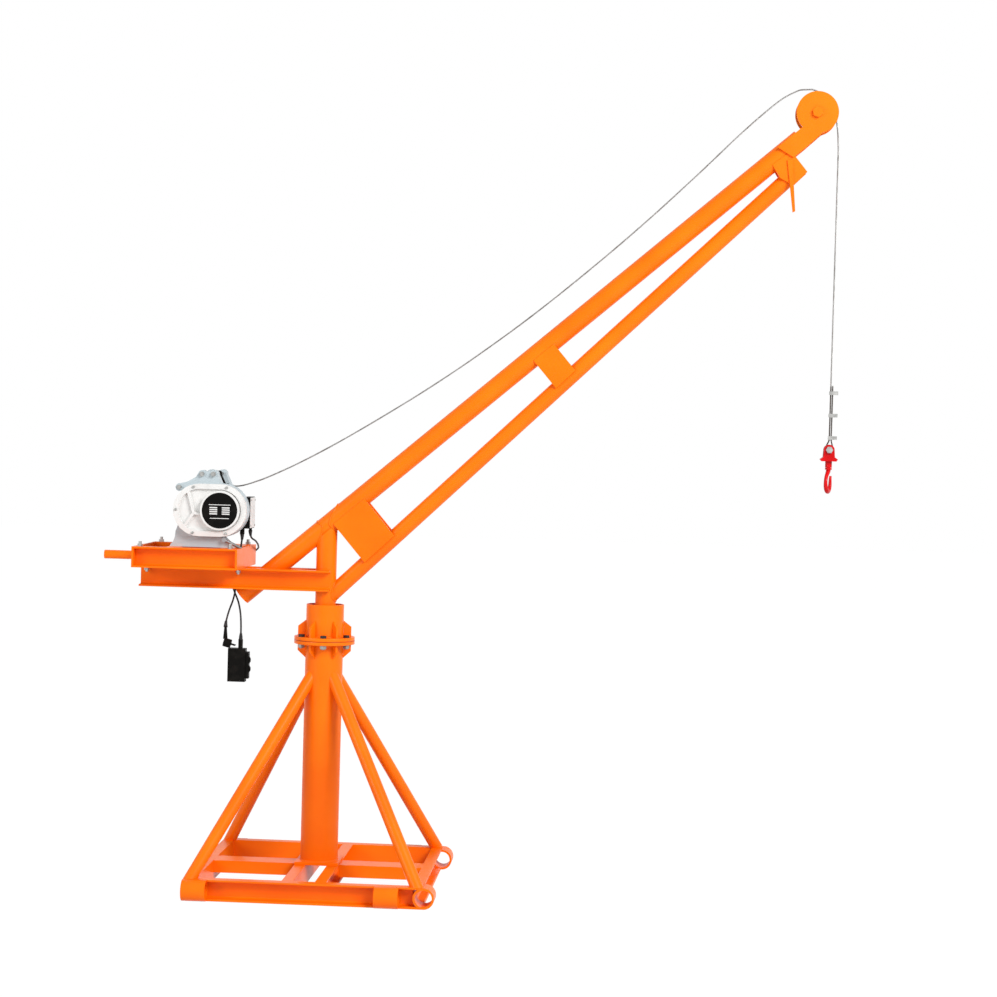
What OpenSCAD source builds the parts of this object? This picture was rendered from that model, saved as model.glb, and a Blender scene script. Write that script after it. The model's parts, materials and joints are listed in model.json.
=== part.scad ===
// Portable mini crane. A square base of steel channel carries a braced round
// column. A mast slews in the column's collar, with a two-tube jib in front
// and a tail frame behind that holds an electric rope winch on a tray. The
// rope runs over the head sheave to a swivel hook. Millimetres, +Z up, jib
// towards +X. The origin is on the floor, on the column's axis.

/* [Base frame] */
// Side of the square base, over the flange tips
base_size = 900; // [760:10:1080]
// Depth of the frame channel
channel_h = 80; // [80:1:100]
// Flange width of the frame channel
channel_b = 43; // [40:1:50]
// Web thickness of the frame channel
channel_web = 5; // [4:0.5:7]
// Flange thickness of the frame channel
channel_flange = 8; // [6:0.5:9]
// Width over the two fore-and-aft channels under the column
spine_width = 168; // [150:2:200]
// Width of the cross channels, which lie with their webs up
cross_w = 100; // [80:2:120]
// Height of the cross channels
cross_h = 48; // [40:1:60]
// Side of the square foot plate
foot_size = 170; // [165:1:220]
// Thickness of the foot plate
foot_t = 12; // [8:1:20]

/* [Outrigger sockets] */
// Outside diameter of the sockets
socket_d = 80; // [74:1:80]
// Wall of the sockets
socket_wall = 8; // [6:0.5:9]
// Length of the sockets
socket_len = 90; // [60:5:120]
// Distance of the inner front and rear sockets from the corner
socket_inset = 90; // [80:5:140]

/* [Column] */
// Outside diameter of the column and the collar
column_d = 146; // [128:1:160]
// Wall of the column and the collar
column_wall = 5; // [4:0.5:6]
// Height of the bolted joint above the floor
joint_z = 950; // [800:10:1020]
// Height of the collar's rim above the bolted joint
collar_rise = 139; // [120:1:160]
// Outside diameter of the two flanges
flange_d = 235; // [225:1:270]
// Thickness of each flange
flange_t = 14; // [10:1:20]
// Pitch circle of the flange bolts
bolt_pcd = 200; // [194:1:210]
// Number of flange bolts, and of ribs on each flange
bolt_count = 6; // [4:1:8]
// Diameter of the flange bolts
bolt_d = 16; // [12:2:20]
// Thickness of the flange ribs
rib_t = 8; // [5:1:12]
// Outside diameter of the four brace pipes
brace_d = 48; // [42:1:54]
// Wall of the brace pipes
brace_wall = 3.2; // [2.5:0.1:4]
// Distance of each brace's foot from the corner tip, along both sides
brace_inset = 26; // [24:1:40]
// Depth below the bolted joint at which the brace axes meet the column's axis
brace_drop = 60; // [30:5:130]

/* [Mast and jib] */
// Outside diameter of the mast
mast_d = 80; // [76:1:86]
// Wall of the mast
mast_wall = 8; // [5:0.5:10]
// Depth of the mast's foot below the bolted joint, inside the column
mast_depth = 175; // [150:5:210]
// Outside diameter of the upper jib tube
upper_d = 76; // [70:1:80]
// Wall of the upper jib tube
upper_wall = 5; // [4:0.5:6]
// Slope of the upper jib tube
upper_angle = 40.7; // [39:0.1:42]
// Height above the bolted joint at which the upper tube's axis crosses the mast's
upper_rise = 446; // [430:1:460]
// Length of the upper tube behind the mast's axis
upper_tail = 434; // [400:1:450]
// Length of the upper tube in front of the mast's axis
upper_reach = 2352; // [2330:1:2370]
// Outside diameter of the lower jib tube
lower_d = 60; // [54:1:64]
// Wall of the lower jib tube
lower_wall = 4; // [3:0.5:5]
// Slope of the lower jib tube
lower_angle = 43.85; // [43:0.05:45]
// Height above the bolted joint at which the lower tube's axis crosses the mast's
lower_rise = 155; // [140:1:170]
// Distance along the jib from the lower tube's end to the upper tube's
lower_setback = 145; // [125:1:165]
// Thickness of the jib's side plates
plate_t = 8; // [6:1:10]

/* [Tail frame and tray] */
// Rear end of the tail channels, behind the mast's axis
tail_end = 720; // [700:5:800]
// Front end of the tail channels, before the mast's axis
tail_front = 22; // [10:1:40]
// Height of the underside of the tail channels above the bolted joint
tail_rise = 193; // [185:1:210]
// Rear end of the tray, behind the mast's axis
tray_rear = 722; // [700:2:760]
// Front end of the tray, behind the mast's axis
tray_front = 314; // [310:1:320]
// Width of the tray over the flange tips
tray_width = 440; // [400:5:480]
// Thickness of the tray's end plates and angle legs
tray_plate = 8; // [6:1:10]
// Width of the bars under the winch's feet
bed_w = 50; // [40:2:60]
// Diameter of the push handle
handle_d = 34; // [25:1:40]
// Length of the push handle
handle_len = 152; // [120:2:180]

/* [Winch] */
// Distance of the drum's axis behind the mast's axis
drum_x = 435; // [428:1:440]
// Height of the drum's axis above the tray
drum_rise = 144; // [138:1:150]
// Radius of the drum barrel
drum_r = 45; // [35:1:55]
// Radius of the drum's flanges
drum_flange_r = 91; // [88:1:93]
// Radius over the rope wound on the drum
wound_r = 80; // [70:1:80]
// Length of the drum over its flanges
drum_len = 120; // [100:2:130]
// Radius of the two rounded ends of the gear case's outline
case_r = 103; // [98:1:106]
// Distance between the centres of those two ends
case_spread = 82; // [60:2:90]
// Thickness of each cast case
case_t = 50; // [40:2:56]
// Depth of the white gear cover
cover_depth = 40; // [30:2:50]
// Radius of the motor
motor_r = 82; // [70:1:86]
// Length of the motor
motor_len = 95; // [80:2:110]

/* [Head and sheave] */
// Distance of the sheave's axis past the upper tube's end
sheave_past = 111; // [98:1:118]
// Distance of the sheave's axis above the upper tube's axis
sheave_t = 35; // [33:1:37]
// Radius of the sheave's rim
sheave_r = 74; // [70:1:75]
// Radius of the bottom of the sheave's groove
groove_r = 65; // [60:1:66]
// Radius of the head plates' round ends
head_r = 80; // [78:1:84]
// Diameter of the sheave's axle
axle_d = 24; // [18:1:30]

/* [Rope and hook] */
// Diameter of the hoist rope
rope_d = 6; // [5:0.5:7]
// Diameter of the yoke's pin
pin_d = 16; // [14:1:16]
// Diameter of the hook's shank
shank_d = 16; // [12:1:20]
// Angle that the hook has turned about its shank
hook_turn = 75; // [0:5:180]

/* [Hidden] */
$fn = 48;

orange = "DarkOrange";
zinc = "Silver";
steel = "Gray";
cast_white = "WhiteSmoke";
cast_blue = "LightSteelBlue";
black = "DimGray";

// Gap left for a weld, or where a round part lies on a flat one
weld_gap = 0.3;
// Radial clearance of a shaft that turns in its bearing
running_fit = 0.05;
// Length that a cutting shape passes its part by
over = 2;

half_base = base_size / 2;
// Distance of the frame webs' outer faces from the base's centre
web_face = half_base - channel_b + channel_web;
inner_half = half_base - channel_b;
socket_y = web_face + socket_d / 2 + 0.5;
socket_z = channel_h / 2;
foot_z = channel_h + foot_t;
column_r = column_d / 2;
column_bore_r = column_r - column_wall;
flange_r = flange_d / 2;
upper_flange_z = joint_z + flange_t;
collar_z = joint_z + collar_rise;
brace_aim = joint_z - brace_drop;
mast_foot = joint_z - mast_depth;
upper_z = joint_z + upper_rise;
lower_z = joint_z + lower_rise;
tail_z = joint_z + tail_rise;
rib_angle = 5;
bolt_angle = rib_angle + 180 / bolt_count;
mast_r = mast_d / 2;
seat_t = 15;
upper_r = upper_d / 2;
lower_r = lower_d / 2;
// Length of the lower tube in front of the mast's axis
lower_reach = (upper_reach - lower_setback + (upper_z - lower_z) * sin(upper_angle))
    / cos(lower_angle - upper_angle);
sheave_s = upper_reach + sheave_past;
tail_top = tail_z + channel_h;
tray_top = tail_top + channel_h;
tray_half = tray_width / 2;
rail_back = tray_half - channel_b;
leg_w = channel_b;
// Distance of the inner faces of the head plates from the jib's middle plane
cheek_y = upper_r + weld_gap;
drum_z = tray_top + drum_rise;
case_y = drum_len / 2 + 8;
case_front = case_y + case_t;
// Distances of the gear case's two round ends behind the mast's axis
plate_x = drum_x - 38;
case_rear_x = plate_x + case_spread;
hook_x = 1930;
pin_z = 1744;
shank_z = 1722;
// Half the gap between the yoke's cheeks, which the shank's nut turns in
yoke_in = 16;
yoke_wall = 6;
yoke_out = yoke_in + yoke_wall;
// Height of the pin's head and nut
pin_head = 9;
// Width across the flats of the shank's nut
shank_nut = 24;

tray_bolt_d = 12;
bed_t = 10;
tail_bolt_y = mast_r + 0.6 * channel_b;
leg_x = [-tray_rear + tray_plate + leg_w / 2, -tray_front - tray_plate - leg_w / 2];
// Places of the bolts between the tray and the tail channels, the rear pair first
tail_bolt_x = [leg_x[0], -tray_front - tray_plate - 12];
stud_y = tray_half - channel_b / 2 + 2;
bed_x = [-case_rear_x - 92, -plate_x + 34];
lugs = [[-plate_x - 165, drum_z + 85], [-plate_x - 78, drum_z + 138], [-plate_x - 33, drum_z + 139]];
lug_r = 15;
tie_r = 6;
shaft_r = 20;
stay_boss_r = 9;
shaft_seat = 27;
drum_cheek = 6;
plate_r = 69;
// Face of the control box that its cover lies on
box_right = -plate_x + 102;
box_z = tray_top + 74;
// How far the two glands stand out under the control box
pendant_gland = 22;
power_gland = 10;
// Middle of the rope guide's sleeve, from the tie rod it hangs on
guide_eye = [22, -45];
box_h = 122;
box_y0 = -case_y + weld_gap;
box_depth = 112;
cord_d = 7;
// The way that hanging cords and the hook leave what holds them
down = [0, 0, -1];
clip_z = [1962, 1876, 1790];

// Route of the hoist rope: off the drum, over the sheave, round the pin, up again
rope_points = [
    [-455, 0, 1528], [-430, 0, 1538], [-408, 0, 1541], [-388, 0, 1541], [-360, 0, 1539],
    [-330, 0, 1544], [-288, 0, 1558], [-233, 0, 1580], [-114, 0, 1638], [50, 0, 1730],
    [272, 0, 1868], [463, 0, 1996], [654, 0, 2136], [825, 0, 2271], [1032, 0, 2447],
    [1219, 0, 2616], [1405, 0, 2795], [1572, 0, 2961], [1702, 0, 3076], [1777, 0, 3118],
    [1825, 0, 3121], [1862, 0, 3107], [1889, 0, 3082], [1903, 0, 3065], [1912, 0, 3045],
    [1920, 0, 3005], [1927, 0, 2950], [1930, 0, 2890], [1930, 0, 1780], [1922, 0, 1765],
    [1916, 0, 1750], [1919, 0, 1738], [1926, 0, 1733], [1934, 0, 1733], [1942, 0, 1738],
    [1945, 0, 1750], [1941, 0, 1765], [1937, 0, 1780], [1937, 0, 1990]];

// Route of the pendant's cord, from its gland on the control box to the pendant
pendant_points = [
    [-326, -45, 1355], [-326, -45, 1338], [-329, -42, 1315], [-333, -37, 1293],
    [-338, -32, 1272], [-352, -24, 1252], [-370, -14, 1230], [-372, -10, 1195],
    [-367, -8, 1155], [-354, -8, 1120], [-340, -8, 1085], [-331, -8, 1040],
    [-328, -8, 990], [-328, -8, 941]];

// Route of the power cord, from the box, behind the tray and under it, to the plug
power_points = [
    [-306, 26, 1367], [-306, 26, 1352], [-298, 48, 1334], [-292, 88, 1320],
    [-293, 135, 1308], [-298, 180, 1297], [-307, 226, 1287], [-330, 246, 1266],
    [-354, 244, 1236], [-370, 218, 1203], [-376, 170, 1170], [-374, 118, 1140],
    [-369, 66, 1115], [-369, 26, 1088], [-377, -6, 1052], [-383, -32, 1012],
    [-383, -40, 991]];

function arc(cx, cy, r, a0, a1, n = 6) =
    [for (i = [0:n]) [cx + r * cos(a0 + (a1 - a0) * i / n), cy + r * sin(a0 + (a1 - a0) * i / n)]];

// Rolled channel section: back on the Y axis, flanges towards +X, standing on X
module channel_section(h, b, web, flange) {
    root = flange;
    toe = flange / 2;
    lower_half = concat(
        [[0, 0], [b, 0]],
        arc(b - toe, flange - toe, toe, 0, 90, 3),
        arc(web + root, flange + root, root, 270, 180, 4));
    upper_half = [for (i = [len(lower_half) - 1:-1:0]) [lower_half[i][0], h - lower_half[i][1]]];
    polygon(concat(lower_half, upper_half));
}

// Channel that lies along X with its back on the plane Y = 0, open towards -Y
module channel_x(length, h, b, web, flange) {
    rotate([90, 0, 90])
        linear_extrude(length)
            mirror([1, 0]) channel_section(h, b, web, flange);
}

module pipe(d, wall, length) {
    difference() {
        cylinder(d = d, h = length);
        translate([0, 0, -over]) cylinder(d = d - 2 * wall, h = length + 2 * over);
    }
}

// Plate in the XZ plane, from y0 towards +Y
module plate_xz(points, y0, t) {
    translate([0, y0 + t, 0]) rotate([90, 0, 0]) linear_extrude(t) polygon(points);
}

// The same plate on both sides of the jib's middle plane
module plate_pair(points, y0, t) {
    plate_xz(points, y0, t);
    plate_xz(points, -y0 - t, t);
}

// Children drawn with X along a jib tube's axis and Z square to it
module on_axis(z0, angle) {
    translate([0, 0, z0]) rotate([0, -angle, 0]) children();
}

module tube_along(s0, s1, d, wall) {
    translate([s0, 0, 0]) rotate([0, 90, 0]) pipe(d, wall, s1 - s0);
}

module rod_along(s0, s1, d) {
    translate([s0, 0, 0]) rotate([0, 90, 0]) cylinder(d = d, h = s1 - s0);
}

// Cylinder along Y from y0 to y1, with its axis through (x, z)
module rod_y(x, z, y0, y1, r) {
    translate([x, y0, z]) rotate([-90, 0, 0]) cylinder(r = r, h = y1 - y0);
}

module hexagon(across, h) {
    cylinder(d = across / cos(30), h = h, $fn = 6);
}

// ---- Base frame ----

// Space that a socket and what lies outside its axis take from the frame, the
// socket along X from x0, on the frame's -Y side
module socket_place(x0, extra) {
    r = socket_d / 2 + extra;
    length = socket_len + 2 * extra;
    translate([x0 - extra, -socket_y, socket_z]) rotate([0, 90, 0]) cylinder(r = r, h = length);
    translate([x0 - extra, -socket_y - r, -over]) cube([length, r, channel_h + 2 * over]);
}

module socket_places(extra) {
    for (side = [0, 1])
        mirror([0, side, 0])
            for (x0 = [-half_base, half_base - socket_inset - socket_len])
                socket_place(x0, extra);
    rotate([0, 0, 90])
        for (x0 = [-half_base, half_base - socket_len])
            socket_place(x0, extra);
}

// One mitred side of the frame, coped round the sockets; quarter 0 is the front
module frame_side(quarter) {
    difference() {
        rotate([0, 0, 90 * quarter])
            intersection() {
                translate([-half_base, -inner_half, 0])
                    channel_x(base_size, channel_h, channel_b, channel_web, channel_flange);
                translate([0, 0, -over])
                    linear_extrude(channel_h + 2 * over)
                        polygon([
                            [-half_base, -half_base], [half_base, -half_base],
                            [inner_half, -inner_half], [-inner_half, -inner_half]]);
            }
        socket_places(weld_gap);
    }
}

module front_channel() {
    color(orange) frame_side(0);
}

module right_channel() {
    color(orange) frame_side(1);
}

module rear_channel() {
    color(orange) frame_side(2);
}

module left_channel() {
    color(orange) frame_side(3);
}

module spine_channels() {
    back = spine_width / 2 - channel_b;
    color(orange)
        for (side = [0, 180])
            rotate([0, 0, 90 + side])
                translate([-inner_half, -back, 0])
                    channel_x(2 * inner_half, channel_h, channel_b, channel_web, channel_flange);
}

// Channels laid flat between the spine and the side channels, flanges down
module cross_channels() {
    length = inner_half - spine_width / 2;
    color(orange)
        for (side = [0, 180])
            rotate([0, 0, side])
                translate([spine_width / 2, -cross_w / 2, channel_h])
                    rotate([90, 0, 90])
                        linear_extrude(length)
                            rotate(-90) mirror([0, 1]) translate([0, -cross_w])
                                channel_section(cross_w, cross_h, channel_web, channel_flange);
}

module foot_plate() {
    color(orange)
        translate([-foot_size / 2, -foot_size / 2, channel_h])
            cube([foot_size, foot_size, foot_t]);
}

module socket_x(x0, y) {
    translate([x0, y, socket_z]) rotate([0, 90, 0]) pipe(socket_d, socket_wall, socket_len);
}

module socket_row(side) {
    socket_x(-half_base, side * socket_y);
    socket_x(half_base - socket_inset - socket_len, side * socket_y);
}

module front_sockets() {
    color(orange) socket_row(-1);
}

module rear_sockets() {
    color(orange) socket_row(1);
}

module right_sockets() {
    color(orange)
        for (y0 = [-half_base, half_base - socket_len])
            translate([socket_y, y0, socket_z])
                rotate([-90, 0, 0]) pipe(socket_d, socket_wall, socket_len);
}

// ---- Column ----

module column() {
    color(orange)
        translate([0, 0, foot_z])
            pipe(column_d, column_wall, joint_z - flange_t - foot_z);
}

module flange_ring(z) {
    translate([0, 0, z])
        difference() {
            cylinder(r = flange_r, h = flange_t);
            translate([0, 0, -over]) cylinder(r = column_bore_r, h = flange_t + 2 * over);
            for (i = [0:bolt_count - 1])
                rotate([0, 0, bolt_angle + 360 / bolt_count * i])
                    translate([bolt_pcd / 2, 0, -over])
                        cylinder(d = bolt_d + 2, h = flange_t + 2 * over);
        }
}

// Triangular ribs between a flange face at z and the tube, upwards or downwards
module flange_ribs(z, direction, tall, edge) {
    foot = flange_r - column_r - 14;
    for (i = [0:bolt_count - 1])
        rotate([0, 0, rib_angle + 360 / bolt_count * i])
            difference() {
                translate([0, 0, z])
                    mirror([0, 0, direction < 0 ? 1 : 0])
                        plate_xz(
                            [[column_r - 8, -1], [column_r + foot, -1], [column_r + foot, edge],
                             [column_r, tall], [column_r - 8, tall]],
                            -rib_t / 2, rib_t);
                translate([0, 0, z - tall - over])
                    cylinder(r = column_r + weld_gap, h = 2 * (tall + over));
            }
}

module column_flange() {
    color(orange) {
        flange_ring(joint_z - flange_t);
        flange_ribs(joint_z - flange_t, -1, 56, 28);
    }
}

module collar_flange() {
    color(orange) {
        flange_ring(joint_z);
        flange_ribs(upper_flange_z, 1, 63, 39);
    }
}

module collar() {
    color(orange)
        translate([0, 0, upper_flange_z])
            pipe(column_d, column_wall, collar_z - upper_flange_z);
}

module flange_bolts() {
    color(zinc)
        for (i = [0:bolt_count - 1])
            rotate([0, 0, bolt_angle + 360 / bolt_count * i])
                translate([bolt_pcd / 2, 0, 0]) {
                    translate([0, 0, joint_z - flange_t - bolt_d])
                        cylinder(d = bolt_d, h = 2 * flange_t + bolt_d + 4);
                    translate([0, 0, upper_flange_z]) hexagon(1.5 * bolt_d, 0.62 * bolt_d);
                    translate([0, 0, joint_z - flange_t - 0.8 * bolt_d])
                        hexagon(1.5 * bolt_d, 0.8 * bolt_d);
                }
}

// Brace pipes from the frame's corners up to the column, coped to both
module braces() {
    foot = half_base - brace_inset;
    rise = brace_aim - channel_h;
    run = foot * sqrt(2);
    color(orange)
        for (quarter = [0:3])
            rotate([0, 0, 90 * quarter + 45])
                difference() {
                    translate([run, 0, channel_h])
                        rotate([0, -atan2(run, rise), 0])
                            translate([0, 0, -brace_d])
                                pipe(brace_d, brace_wall, norm([run, rise]) + brace_d);
                    translate([run - 3 * brace_d, -brace_d, channel_h - 3 * brace_d])
                        cube([6 * brace_d, 2 * brace_d, 3 * brace_d]);
                    translate([0, 0, foot_z])
                        cylinder(r = column_r + weld_gap, h = joint_z);
                }
}

// Cup in the column that carries the mast's foot
module footstep_bearing() {
    color(steel)
        translate([0, 0, mast_foot - weld_gap - seat_t])
            difference() {
                cylinder(r = column_bore_r - weld_gap, h = seat_t + 55);
                translate([0, 0, seat_t])
                    cylinder(r = mast_r + running_fit, h = 55 + over);
            }
}

// Bush just under the collar's rim
module collar_bush() {
    color(steel)
        translate([0, 0, collar_z - 60])
            difference() {
                cylinder(r = column_bore_r - weld_gap, h = 30);
                translate([0, 0, -over])
                    cylinder(r = mast_r + running_fit, h = 30 + 2 * over);
            }
}

// ---- Mast and jib ----

// Distance of the lower tube's axis from the upper tube's, s along the upper
function lower_t(s) =
    let (drop = lower_z - upper_z,
         s0 = drop * sin(upper_angle),
         t0 = drop * cos(upper_angle))
    t0 + (s - s0) * tan(lower_angle - upper_angle);

module mast() {
    color(orange)
        difference() {
            translate([0, 0, mast_foot]) pipe(mast_d, mast_wall, upper_z + mast_d - mast_foot);
            on_axis(upper_z, upper_angle) {
                rod_along(-200, 200, upper_d + 2 * weld_gap);
                translate([-200, -mast_d, -upper_r / 2]) cube([400, 2 * mast_d, 300]);
            }
        }
}

module upper_tube() {
    color(orange)
        on_axis(upper_z, upper_angle)
            tube_along(-upper_tail, upper_reach, upper_d, upper_wall);
}

module lower_tube() {
    color(orange)
        difference() {
            on_axis(lower_z, lower_angle) tube_along(0, lower_reach, lower_d, lower_wall);
            translate([0, 0, lower_z - 300]) cylinder(r = mast_r + weld_gap, h = 600);
        }
}

// Side plates between the two tubes, from s0 to s1 along the upper one
module lap_plates(s0, s1) {
    color(orange)
        on_axis(upper_z, upper_angle)
            difference() {
                plate_pair(
                    [[s0, -12], [s1, -12], [s1, lower_t(s1) + 4], [s0, lower_t(s0) + 4]],
                    lower_r + weld_gap, plate_t);
                rod_along(s0 - over, s1 + over, upper_d + 2 * weld_gap);
            }
}

module root_plates() {
    lap_plates(26, 182);
}

module middle_plates() {
    lap_plates(1027, 1128);
}

// ---- Tail frame and tray ----

module tail_channels() {
    color(orange)
        for (side = [0, 1])
            mirror([0, side, 0])
                difference() {
                    translate([-tail_end, -mast_r - weld_gap, tail_z])
                        channel_x(tail_end + tail_front, channel_h, channel_b, channel_web, channel_flange);
                    for (x = tail_bolt_x)
                        translate([x, -tail_bolt_y, tail_top - 2 * channel_flange])
                            cylinder(d = tray_bolt_d + 1, h = 3 * channel_flange);
                }
}

module tray_rails() {
    color(orange)
        for (side = [0, 1])
            mirror([0, side, 0])
                difference() {
                    translate([-tray_rear + tray_plate, -rail_back, tail_top])
                        channel_x(tray_rear - tray_front - 2 * tray_plate,
                            channel_h, channel_b, channel_web, channel_flange);
                    for (x = leg_x)
                        translate([x, -stud_y, tray_top - channel_flange - over])
                            cylinder(d = tray_bolt_d + 1, h = channel_flange + 2 * over);
                }
}

// End plate with a bottom leg, which is bolted to the tail channels at bolt_x
module tray_end(x, bolt_x, side) {
    translate([-x, 0, tail_top])
        mirror([side, 0, 0])
            difference() {
                union() {
                    translate([0, -tray_half, 0]) cube([tray_plate, tray_width, channel_h]);
                    translate([0, -rail_back, 0]) cube([leg_w + tray_plate, 2 * rail_back, tray_plate]);
                }
                for (y = [-tail_bolt_y, tail_bolt_y])
                    translate([abs(bolt_x + x), y, -over])
                        cylinder(d = tray_bolt_d + 1, h = tray_plate + 2 * over);
            }
}

module tray_ends() {
    color(orange) {
        tray_end(tray_front, tail_bolt_x[1], 1);
        tray_end(tray_rear, tail_bolt_x[0], 0);
    }
}

// Bars across the tray that the winch's feet stand on
module winch_bed() {
    color(orange)
        for (x = bed_x)
            translate([x - bed_w / 2, -rail_back, tray_top - bed_t])
                cube([bed_w, 2 * rail_back, bed_t]);
}

// Short studs through the top flanges of the tray's rails, with a nut on each
module tray_studs() {
    color(zinc)
        for (x = leg_x)
            for (y = [-stud_y, stud_y]) {
                translate([x, y, tray_top - channel_flange])
                    cylinder(d = tray_bolt_d, h = channel_flange + 20);
                translate([x, y, tray_top]) hexagon(1.5 * tray_bolt_d, 10);
            }
}

// Bolts that hold the end plates' legs to the tail channels
module tail_bolts() {
    color(zinc)
        for (x = tail_bolt_x)
            for (y = [-tail_bolt_y, tail_bolt_y]) {
                translate([x, y, tail_top - channel_flange - 16])
                    cylinder(d = tray_bolt_d, h = channel_flange + tray_plate + 20);
                translate([x, y, tail_top - channel_flange - 10])
                    hexagon(1.5 * tray_bolt_d, 10);
                translate([x, y, tail_top + tray_plate])
                    hexagon(1.5 * tray_bolt_d, 8);
            }
}

module push_handle() {
    color(orange)
        translate([-tray_rear - handle_len, 0, tail_top + channel_h / 2 - 5])
            rotate([0, 90, 0])
                pipe(handle_d, 3, handle_len);
}

// ---- Winch ----

// Outline of a case: round ends about x and about case_rear_x, and straight sides
module case_outline(x, r) {
    polygon(concat(
        arc(-x, drum_z, r, -90, 90, 16),
        arc(-case_rear_x, drum_z, r, 90, 270, 16)));
}

// Flared foot under the case, down to the tray; its front end is at x
module foot_outline(x) {
    rear = -case_rear_x - 116;
    top = drum_z - 0.6 * case_r;
    polygon([
        [rear, tray_top], [x, tray_top], [x - 4, tray_top + 8], [x - 18, tray_top + 20],
        [x - 34, tray_top + 36], [x - 46, tray_top + 60], [x - 50, top],
        [rear + 30, top], [rear + 22, tray_top + 60], [rear + 19, tray_top + 36],
        [rear + 13, tray_top + 18], [rear + 3, tray_top + 8]]);
}

// Crown on top of the case, which joins the three lugs
module crown_outline() {
    polygon([
        lugs[0] + [20, -30], lugs[0] + [-2, 14], lugs[1] + [-54, -30], lugs[1] + [-24, -12],
        lugs[1] + [-12, 8], lugs[2] + [9, 11], lugs[2] + [34, -44]]);
}

// One cast case from y0 towards +Y; the drum's shaft turns in its blind bore
module cast_case(x, y0, bore_y0) {
    difference() {
        translate([0, y0 + case_t, 0])
            rotate([90, 0, 0]) {
                linear_extrude(case_t) case_outline(x, case_r);
                linear_extrude(case_t) foot_outline(-x + 48);
                linear_extrude(case_t) crown_outline();
                for (p = lugs)
                    translate(p) cylinder(r = lug_r, h = case_t);
            }
        rod_y(-drum_x, drum_z, bore_y0, bore_y0 + shaft_seat + over, shaft_r + running_fit);
        for (p = lugs)
            rod_y(p[0], p[1], y0 - over, y0 + case_t + over, tie_r + weld_gap);
    }
}

module gear_case() {
    color(cast_blue) cast_case(plate_x, -case_front, -case_y - shaft_seat);
}

module motor_case() {
    color(cast_blue) cast_case(drum_x, case_y, case_y - over);
}

// White cover with a raised rim, a ring for the nameplate and three ribs
module gear_cover() {
    rim = 20;
    outline_r = case_r - 2;
    floor_t = 0.45 * cover_depth;
    rim_t = 0.7 * cover_depth;
    star = [-plate_x - 103, drum_z - 12];
    color(cast_white)
        translate([0, -case_front, 0])
            rotate([90, 0, 0]) {
                linear_extrude(floor_t) case_outline(plate_x, outline_r);
                linear_extrude(rim_t)
                    difference() {
                        case_outline(plate_x, outline_r);
                        case_outline(plate_x, outline_r - rim);
                    }
                linear_extrude(rim_t)
                    intersection() {
                        case_outline(plate_x, outline_r);
                        union()
                            for (a = [-10, 105, 235])
                                translate(star) rotate(a) translate([-3, -5]) square([90, 10]);
                    }
                linear_extrude(cover_depth)
                    translate([-plate_x, drum_z])
                        difference() {
                            circle(r = plate_r + 7);
                            circle(r = plate_r);
                        }
                linear_extrude(cover_depth - 5)
                    translate([-plate_x, drum_z]) circle(r = plate_r + 4);
            }
}

module nameplate() {
    color("Black")
        rod_y(-plate_x, drum_z, -case_front - cover_depth + 1, -case_front - cover_depth + 5,
            plate_r - weld_gap);
}

// Finned motor body with a plain end cap
module motor() {
    fins = 28;
    color(cast_white)
        translate([-drum_x, case_front, drum_z])
            rotate([-90, 0, 0]) {
                linear_extrude(motor_len - 18) {
                    circle(r = motor_r - 10);
                    for (i = [0:fins - 1])
                        rotate(360 / fins * i) translate([0, -2]) square([motor_r, 4]);
                }
                translate([0, 0, motor_len - 18]) cylinder(r = motor_r, h = 14);
                translate([0, 0, motor_len - 4]) cylinder(r = motor_r - 12, h = 4);
            }
}

// Tie rods through the lugs of both cases, with a nut at each end
module tie_rods() {
    color(zinc)
        for (p = lugs) {
            rod_y(p[0], p[1], -case_front - 14, case_front + 14, tie_r);
            for (y = [-case_front - 10, case_front])
                translate([p[0], y, p[1]])
                    rotate([-90, 0, 0]) hexagon(3 * tie_r, 10);
        }
}

// Stay from the gear case down to the tray's end plate
module winch_stay() {
    top = [-plate_x + 16, drum_z - case_r - stay_boss_r - 1];
    foot = [-tray_front - tray_plate / 2, tray_top + 1];
    run = foot - top;
    y = -case_front - 9;
    stay_r = 6;
    color(steel) {
        rod_y(top[0], top[1], -case_front - 18, -case_front - weld_gap, stay_boss_r);
        difference() {
            translate([top[0], y, top[1]])
                rotate([0, 90 + atan2(-run[1], run[0]), 0])
                    cylinder(r = stay_r, h = norm(run) + stay_r);
            translate([foot[0] - 4 * stay_r, y - 2 * stay_r, tray_top + weld_gap - 4 * stay_r])
                cube([8 * stay_r, 4 * stay_r, 4 * stay_r]);
        }
    }
}

module drum() {
    color(steel)
        difference() {
            union() {
                rod_y(-drum_x, drum_z, -drum_len / 2, drum_len / 2, drum_r);
                for (y = [-drum_len / 2, drum_len / 2 - drum_cheek])
                    rod_y(-drum_x, drum_z, y, y + drum_cheek, drum_flange_r);
                rod_y(-drum_x, drum_z, -case_y - shaft_seat + 2, case_y + shaft_seat - 2, shaft_r);
            }
        }
}

module wound_rope() {
    inner = drum_len / 2 - drum_cheek - weld_gap;
    color("Gray")
        difference() {
            rod_y(-drum_x, drum_z, -inner, inner, wound_r);
            rod_y(-drum_x, drum_z, -inner - over, inner + over, drum_r + weld_gap);
        }
}

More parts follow.
